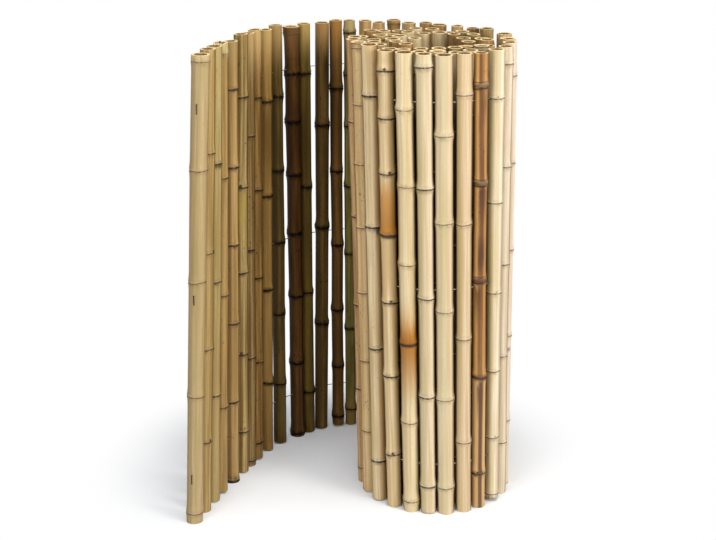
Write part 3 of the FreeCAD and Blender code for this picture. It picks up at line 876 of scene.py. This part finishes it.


# In these skins each along stripe at a side from 0.5 to 0.58 turns, the left side, is painted shade on the
# side turned from the key light (cane 31's is partly its own streak).
SKINS = {
    1: BambooSkin("bba57b", "a0875a", "938c58", 0.35, 0.7, 0.08, "5c4024", 1.2, 0.3,
        (along("86683c", 0.5, 0.5), painted_top_light("c2ad80", 24.0, 0.5), *painted_edge_shade("8a6c44", strength=0.5))),
    2: BambooSkin("bea46c", "977a44", "a07c3c", 0.3, 0.8, 0.15, "3c2814", 1.3, 0.4,
        (along(UMBER, 0.5, 0.52), *painted_edge_shade(UMBER))),
    3: BambooSkin("c0aa74", "9a844c", "a68c54", 0.4, 0.7, 0.2, "2f2014", 1.6, 0.5,
        (StainAndPaintedLight(300.0, 200.0, 400.0, "a08452", 0.7), along("4e3a20", 0.75, 0.54),
        StainAndPaintedLight(763.0, 8.0, 14.0, "4c4422", 0.8, 0.85), *painted_edge_shade(UMBER))),
    4: BambooSkin("b69a62", "90723e", HONEY, 0.4, 0.8, 0.3, SOOT, 1.4, 0.4, (painted_top_light("c6b482", 40.0),
        along("4e3a20", 0.5, 0.54), *painted_edge_shade("3c2814"))),
    5: BambooSkin("be9f66", "967442", "a3804a", 0.4, 0.8, 0.2, "24160c", 2.4, 0.6,
        (painted_top_light("a8925e", 120.0, 0.6), along("74501f", 0.8, 0.57), StainAndPaintedLight(0.0, 24.0, 5.0, "3c2814", 0.8),
        *painted_edge_shade("3a2410"))),
    6: BambooSkin("bea469", "7c6032", "8a763f", 0.4, 1.0, 0.8, "2a1a0e", 2.0, 0.6,
        (along("4e3a1e", 0.6, 0.54), StainAndPaintedLight(650.0, 30.0, 130.0, "ae9438", 0.5, FRONT),
        *painted_edge_shade("3a2814"))),
    7: BambooSkin("b2925a", "6c4e26", OLIVE, 0.4, 1.0, 0.8, "24160c", 1.9, 0.6, (painted_top_light("b89a66"),
        StainAndPaintedLight(528.0, 10.0, 10.0, SOOT, 0.8, 0.65), along("4a3418", 0.6, 0.54),
        *painted_edge_shade("3a2612"))),
    8: BambooSkin("ba9250", "785628", "80542a", 0.5, 0.95, 0.8, "20130a", 2.2, 0.7, (painted_top_light("c6a670"),
        along("4a3214", 0.6, 0.54), *painted_edge_shade("38220c")), 0.3, 0.16),
    9: BambooSkin("cca25a", "a07a3e", "967234", 0.4, 0.9, 0.4, "120a05", 3.2, 0.85,
        (StainAndPaintedLight(790.0, 100.0, 190.0, "66481a", 0.65), painted_top_light("b89a60"), along("5a4018", 0.7, 0.54),
        StainAndPaintedLight(0.0, 200.0, 5.0, "7a5a28", 0.5), *painted_edge_shade("2c1c0a")), 0.1, 0.12),
    10: BambooSkin("7c6434", "54421f", "4c4020", 0.5, 0.8, 0.5, "0f0804", 2.6, 0.8, (painted_top_light("a88a58"),
        along("2e1e0a", 0.7, 0.54), *painted_edge_shade("1c1208")), 0.0, 0.07),
    11: BambooSkin("704c24", "4c3216", "34200c", 0.6, 0.9, 0.9, "0c0603", 3.4, 0.9,
        (painted_top_light("86643a", 110.0, 0.6), StainAndPaintedLight(968.0, 30.0, 34.0, "3a2010", 0.6, 0.9, 0.16),
        StainAndPaintedLight(800.0, 80.0, 260.0, "38200c", 0.7), along("241406", 0.7, 0.53),
        *painted_edge_shade("1a0e05")), 0.0, 0.06),
    12: BambooSkin("745e26", "544119", "463a18", 0.4, 0.8, 0.4, "0c0704", 2.6, 0.8,
        (painted_top_light("b09458", 110.0), StainAndPaintedLight(760.0, 130.0, 200.0, "3c2a0a", 0.6),
        StainAndPaintedLight(985.0, 20.0, 190.0, "9a9452", 0.6, 0.95, 0.12), along("746a3a", 0.35, 0.97, 0.16),
        *painted_edge_shade("1c1408")), 0.0, 0.06),
    13: BambooSkin("785c2e", "543e1c", "3c2e14", 0.5, 0.8, 0.8, "0a0503", 3.2, 0.85,
        (painted_top_light("a07c4c", 100.0), StainAndPaintedLight(905.0, 50.0, 110.0, "281a08", 0.7, 0.9, 0.17),
        along("241808", 0.7, 0.53), *painted_edge_shade("1a1006")), 0.0, 0.07),
    14: BambooSkin("845e2c", "5e421e", "423010", 0.5, 0.9, 0.6, "0c0603", 2.8, 0.85,
        (painted_top_light("98703a", 120.0), StainAndPaintedLight(800.0, 100.0, 200.0, "3e260a", 0.6), along("241606", 0.7, 0.53),
        *painted_edge_shade("1a0f05")), 0.0, 0.06),
    # Cane 15: the pale stain at its top is painted light falling on its upper end.
    15: BambooSkin("867a3e", "605428", "48411e", 0.5, 0.8, 0.5, "120b06", 2.2, 0.7,
        (StainAndPaintedLight(1000.0, 5.0, 70.0, "b09c6c", 0.8), StainAndPaintedLight(20.0, 100.0, 25.0, "80602e", 0.7),
        *painted_edge_shade("221a0a")), 0.0, 0.08),
    16: BambooSkin("bb9a66", "92703f", GOLD, 0.4, 0.6, 0.2),
    17: BambooSkin("c2a476", "9c7b4a", HONEY, 0.3, 0.6, 0.2),
    18: BambooSkin("b08c58", "846438", AMBER, 0.4, 0.7, 0.3),
    19: BambooSkin("c4aa7e", "a08456", HONEY, 0.3, 0.5, 0.15),
    20: BambooSkin("b89668", "8c6c40", GOLD, 0.4, 0.6, 0.2),
    21: BambooSkin("b6925c", "8a683a", AMBER, 0.4, 0.7, 0.3),
    22: BambooSkin("c6ae82", "a48858", HONEY, 0.3, 0.5, 0.15),
    23: BambooSkin("8e6c42", "68482a", RUST, 0.5, 0.8, 0.5),
    24: BambooSkin("a68e5c", "7e683a", OLIVE, 0.5, 0.6, 0.3),
    25: BambooSkin("c2a878", "9c804e", HONEY, 0.3, 0.5, 0.15),
    26: BambooSkin("cab084", "a88c5a", GOLD, 0.3, 0.5, 0.15),
    27: BambooSkin("cfae80", "b38c5a", HONEY, 0.4, 0.5, 0.15, "5a3c20", 1.2, 0.3),
    28: BambooSkin("e4d5c4", "ceb894", SAND, 0.2, 0.6, 0.1, "5e4830", 1.2, 0.3,
        (along("a8884e", 0.5, 0.58), StainAndPaintedLight(330.0, 8.0, 8.0, SOOT, 0.7, FRONT))),
    29: BambooSkin("e6dac8", "ceb892", SAND, 0.25, 0.7, 0.1, "5a4228", 1.2, 0.3,
        (along("a0804a", 0.5, 0.56), *painted_edge_shade(UMBER, ROLL_LEFT))),
    30: BambooSkin("ecdfc6", "d2be98", "c4b480", 0.3, 0.75, 0.1, "584428", 1.1, 0.35,
        (along("a8964e", 0.6, 0.57), StainAndPaintedLight(0.0, 14.0, 5.0, "2e2014", 0.8),
        *painted_edge_shade("5c4820", ROLL_LEFT, 0.45))),
    # Cane 31: its dark stripes at the left and right edges, at 0.53 and 0.97 turns, are partly its own
    # streaks and partly painted edge shade.
    31: BambooSkin("cca064", "82582c", "64422c", 0.5, 1.0, 0.6, "3c2a1e", 1.6, 0.8,
        (along("6c4c28", 0.8, 0.53, 0.13), along("5c3c24", 0.75, 0.97, 0.09),
        along("c48c4c", 0.7, 0.87, 0.06), along("d8a45e", 0.75, 0.64, 0.08),
        along("68442a", 0.75, 0.77, 0.08), StainAndPaintedLight(900.0, 40.0, 60.0, "5a3c22", 0.6, 0.82, 0.12),
        StainAndPaintedLight(715.0, 14.0, 90.0, "4c3020", 0.8, 0.8, 0.14),
        StainAndPaintedLight(580.0, 70.0, 50.0, "4c3428", 0.75, 0.78, 0.12),
        StainAndPaintedLight(505.0, 14.0, 110.0, "5a3820", 0.7, 0.7, 0.14), StainAndPaintedLight(297.0, 12.0, 2500.0, "cca670", 0.85),
        StainAndPaintedLight(297.0, 12.0, 2500.0, "5e4232", 0.95, 0.79, 0.075),
        StainAndPaintedLight(280.0, 20.0, 90.0, "5e4230", 0.8, 0.77, 0.12), *swollen(933.0, "8a7454", "3a281a"),
        *swollen(734.0, "7e6848", "34241a"), *swollen(526.0, "6e5038", "34221a"),
        StainAndPaintedLight(309.0, 6.0, 7.0, "4a3024", 0.85, over=True)), 0.1),
    32: BambooSkin("dcc8aa", "c0a47a", STRAW, 0.25, 0.75, 0.06, "5a4630", 1.1, 0.3,
        (along("bda468", 0.5, 0.57), *painted_edge_shade("5c401c", ROLL_LEFT))),
    33: BambooSkin("dfcdb0", "c8b088", "beb084", 0.35, 0.75, 0.06, "746a48", 1.2, 0.35,
        (along("b8b07c", 0.35, 0.72, 0.14), along("d2b490", 0.4, 0.92, 0.14),
        *painted_edge_shade("5a421e", ROLL_LEFT))),
    34: BambooSkin("e0d0b6", "c8b08a", STRAW, 0.25, 0.75, 0.06, "3c2c1a", 1.6, 0.4,
        (along("a49a58", 0.45, 0.57), *painted_edge_shade("4c3818", ROLL_LEFT))),
    35: BambooSkin("deceaa", "c6ae80", "ccb280", 0.3, 0.7, 0.08, "6c5434", 1.1, 0.35,
        (StainAndPaintedLight(391.0, 115.0, 3.0, "bc883c", 0.9), StainAndPaintedLight(391.0, 60.0, 3.0, "9a5c12", 0.95),
        StainAndPaintedLight(388.0, 4.0, 160.0, "a46c26", 0.95), StainAndPaintedLight(390.0, 6.0, 7.0, "24140a", 0.92, over=True),
        *painted_edge_shade("4c3414", ROLL_LEFT)), 0.0),
    # Cane 36: its dark stripe on the right side, at 0.94 turns, is painted shade.
    36: BambooSkin("e0cca4", "c6aa78", "be9e66", 0.3, 0.75, 0.1, "241609", 1.8, 0.5,
        (along("a07a38", 0.65, 0.94, 0.2), StainAndPaintedLight(700.0, 52.0, 100.0, "c08a42", 0.8),
        StainAndPaintedLight(624.0, 110.0, 3.0, "a86e1e", 0.9), StainAndPaintedLight(620.0, 4.0, 6.0, "24140a", 0.85, over=True),
        StainAndPaintedLight(540.0, 80.0, 60.0, "c8a878", 0.5), *painted_edge_shade("402a10", ROLL_LEFT)), 0.1),
    # Cane 37: its dark stripe on the right side, at 0.93 turns, is painted shade.
    37: BambooSkin("e2cea8", "c4aa78", "a8967a", 0.3, 0.75, 0.15, "24170d", 2.2, 0.6,
        (along("a87a3a", 0.85, 0.93, 0.2), StainAndPaintedLight(625.0, 9.0, 20.0, "40262a", 0.85, 0.92),
        *painted_edge_shade("402a10", ROLL_LEFT))),
    38: BambooSkin("d8bc8a", "b69662", TAN, 0.35, 0.8, 0.5, "5e4226", 1.2, 0.35, painted_edge_shade(UMBER, ROLL_LEFT)),
    39: BambooSkin("ceac7a", "a27c4e", AMBER, 0.35, 0.9, 0.5, "2a1a0e", 1.6, 0.4,
        painted_edge_shade(UMBER, ROLL_LEFT)),
}
PAINTED_INNER_SHADE = StainAndPaintedLight(850.0, 130.0, 2500.0, "1e1409", 0.88)  # painted shade: the inner canes are darkened below their tops, where the roll shades them
HIDDEN_SKINS = [BambooSkin(light, dark, tint, 0.3, 0.6, mottle, stains_and_painted_light=(PAINTED_INNER_SHADE,), gloss=0.1)
                for light, dark, tint, mottle in (
                    ("cbb48a", "a88a58", HONEY, 0.15), ("d2c09a", "b09668", TAN, 0.1),
                    ("b08e5a", "866640", AMBER, 0.3), ("c4ae82", "a0845a", OLIVE, 0.15),
                    ("94744a", "6e5030", RUST, 0.5), ("d6c6a4", "bca478", SAND, 0.1),
                    ("bc9c66", "947446", GOLD, 0.2), ("a69264", "806e44", MOSS, 0.3))]
GROWTHS = {
    1: Growth(waver=1.0), 2: Growth(bud_turn=0.92, bud_size=1.4, groove=1.2), 3: Growth(bud_turn=0.1),
    4: Growth(ragged=4.5), 5: Growth(waver=1.3, bud_turn=0.1, swell=1.3),
    6: Growth(bud_turn=0.25, bud_size=1.5, groove=1.6, swell=1.2), 7: Growth(bud_turn=0.7, bud_size=1.2),
    8: Growth(waver=1.2, swell=1.3), 9: Growth(waver=1.3, swell=1.5), 10: Growth(swell=1.5),
    11: Growth(waver=1.2, bud_size=1.0, swell=1.9), 12: Growth(swell=1.5),
    13: Growth(waver=1.1, swell=1.8), 14: Growth(swell=1.6), 15: Growth(swell=1.4),
    28: Growth(bud_turn=0.25, bud_size=1.0), 30: Growth(waver=0.6),
    31: Growth(waver=1.2, bud_size=1.0, swell=1.7), 32: Growth(swell=1.2), 33: Growth(swell=1.4),
    34: Growth(bud_turn=0.05, bud_size=1.2, swell=1.7), 35: Growth(waver=1.0, swell=1.5),
    36: Growth(waver=1.5, bud_turn=0.75, bud_size=1.4, groove=1.4, swell=1.7),
    37: Growth(waver=1.2, bud_turn=0.35, swell=1.3),
}


@dataclass(frozen=True)
class Studio:
    """A plain white studio: a pale floor, one broad soft light from the front right, and an even fill.

    Attributes:
        camera_height: the camera's height above the ground, in m.
        camera_pitch: how far it looks down, in degrees.
        camera_aside: how far it stands to the right of the panel's middle, in m.
        camera_away: how far it stands in front of it, in m.
        focal: the focal length of the photograph in its own pixels.
        picture_width: the photograph's width in pixels.
        floor_colour: the floor's colour, a little cool against the canes' warm light.
        floor_fade: where the floor starts and ends its change into white, in m from the middle.
    """

    camera_height: float = 1.49
    camera_pitch: float = 18.7
    camera_aside: float = 0.014
    camera_away: float = 2.968
    focal: float = 1420.0
    picture_width: float = 716.0
    floor_colour: str = "f1f4f8"
    floor_fade: tuple[float, float] = (0.34, 0.62)

    def build(self, centre: Vector) -> None:
        """Set up the world, the floor, the lights and the camera."""
        scene = bpy.context.scene
        scene.view_settings.view_transform = "Standard"
        self.world(scene)
        self.floor()
        self.lamp("key", (3.2, -2.4, 1.9), centre, 1.6, 99.0, "fffaf2")
        self.lamp("fill", (-1.9, -3.4, 1.7), centre, 1.6, 50.0, "fdfcff")
        self.lamp("top", (0.2, -0.6, 3.6), centre, 3.0, 118.0, "ffffff")
        self.camera(scene, centre)

    def world(self, scene: bpy.types.Scene) -> None:
        """Light evenly from all round, with plain white behind."""
        world = bpy.data.worlds.new("studio")
        scene.world = world
        world.use_nodes = True
        tree = world.node_tree
        tree.nodes.clear()
        rays = add_node(tree, "ShaderNodeLightPath")
        seen = rays.outputs["Is Camera Ray"]
        for name in ("Is Glossy Ray", "Is Transmission Ray"):
            seen = reckon(tree, "MAXIMUM", seen, rays.outputs[name])
        white = add_node(tree, "ShaderNodeBackground", None, {"Color": (1, 1, 1, 1), "Strength": 1.0})
        even = add_node(tree, "ShaderNodeBackground", None, {"Color": srgb("fbfbfa"), "Strength": 0.15})
        mix = add_node(tree, "ShaderNodeMixShader", None, {0: seen, 1: even.outputs[0], 2: white.outputs[0]})
        add_node(tree, "ShaderNodeOutputWorld", None, {0: mix.outputs[0]})

    def floor(self) -> None:
        """Lay a pale matt floor that keeps the panel's shadow and turns into the white behind it."""
        mesh = bmesh.new()
        bmesh.ops.create_grid(mesh, x_segments=1, y_segments=1, size=12.0)
        data = bpy.data.meshes.new("floor")
        mesh.to_mesh(data)
        mesh.free()
        material, tree = start_material("white_floor")
        matt = add_node(tree, "ShaderNodeBsdfPrincipled", None,
                        {"Base Color": srgb(self.floor_colour), "Roughness": 0.9, "Specular IOR Level": 0.1})
        white = add_node(tree, "ShaderNodeEmission", None, {"Color": (1, 1, 1, 1), "Strength": 1.0})
        place = add_node(tree, "ShaderNodeTexCoord").outputs["Object"]
        reach = add_node(tree, "ShaderNodeVectorMath", {"operation": "LENGTH"}, {0: place}).outputs["Value"]
        fade = ramp(tree, reach, *self.floor_fade)
        mix = add_node(tree, "ShaderNodeMixShader", None, {0: fade, 1: matt.outputs[0], 2: white.outputs[0]})
        add_node(tree, "ShaderNodeOutputMaterial", None, {0: mix.outputs[0]})
        data.materials.append(material)
        floor = bpy.data.objects.new("floor", data)
        bpy.context.scene.collection.objects.link(floor)

    @staticmethod
    def lamp(name: str, place: tuple[float, float, float], aim: Vector, size: float, power: float,
             colour: str) -> None:
        """Hang one soft lamp that looks at the panel."""
        light = bpy.data.lights.new(name, "AREA")
        light.shape, light.size, light.energy = "DISK", size, power
        light.color = srgb(colour)[:3]
        lamp = bpy.data.objects.new(name, light)
        lamp.location = place
        lamp.rotation_euler = (aim - Vector(place)).to_track_quat("-Z", "Y").to_euler()
        bpy.context.scene.collection.objects.link(lamp)

    def camera(self, scene: bpy.types.Scene, centre: Vector) -> None:
        """Stand the camera where the photograph was taken from."""
        data = bpy.data.cameras.new("camera")
        data.sensor_width = 36.0
        data.lens = self.focal * data.sensor_width / self.picture_width
        camera = bpy.data.objects.new("camera", data)
        camera.location = (centre.x + self.camera_aside, centre.y - self.camera_away, self.camera_height)
        camera.rotation_euler = (math.radians(90 - self.camera_pitch), 0.0, 0.0)
        scene.collection.objects.link(camera)
        scene.camera = camera


def main() -> None:
    """Load the frame, dress the panel and set up the studio."""
    logging.basicConfig(level=logging.INFO, format="%(name)s %(message)s")
    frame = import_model()
    nodes = frame["nodes"]
    slots = {part["node"]: part["material_slot"] for part in frame["record"]["subparts"]}
    wires = Wires(nodes)
    mat = BambooMat(SKINS, HIDDEN_SKINS, GROWTHS, wires.heights)
    count = mat.build(nodes, slots)
    wires.dress()
    Studio().build(Vector((0, 0, 0.5)))
    LOG.info("%d canes in all", count)


if __name__ == "__main__":
    main()
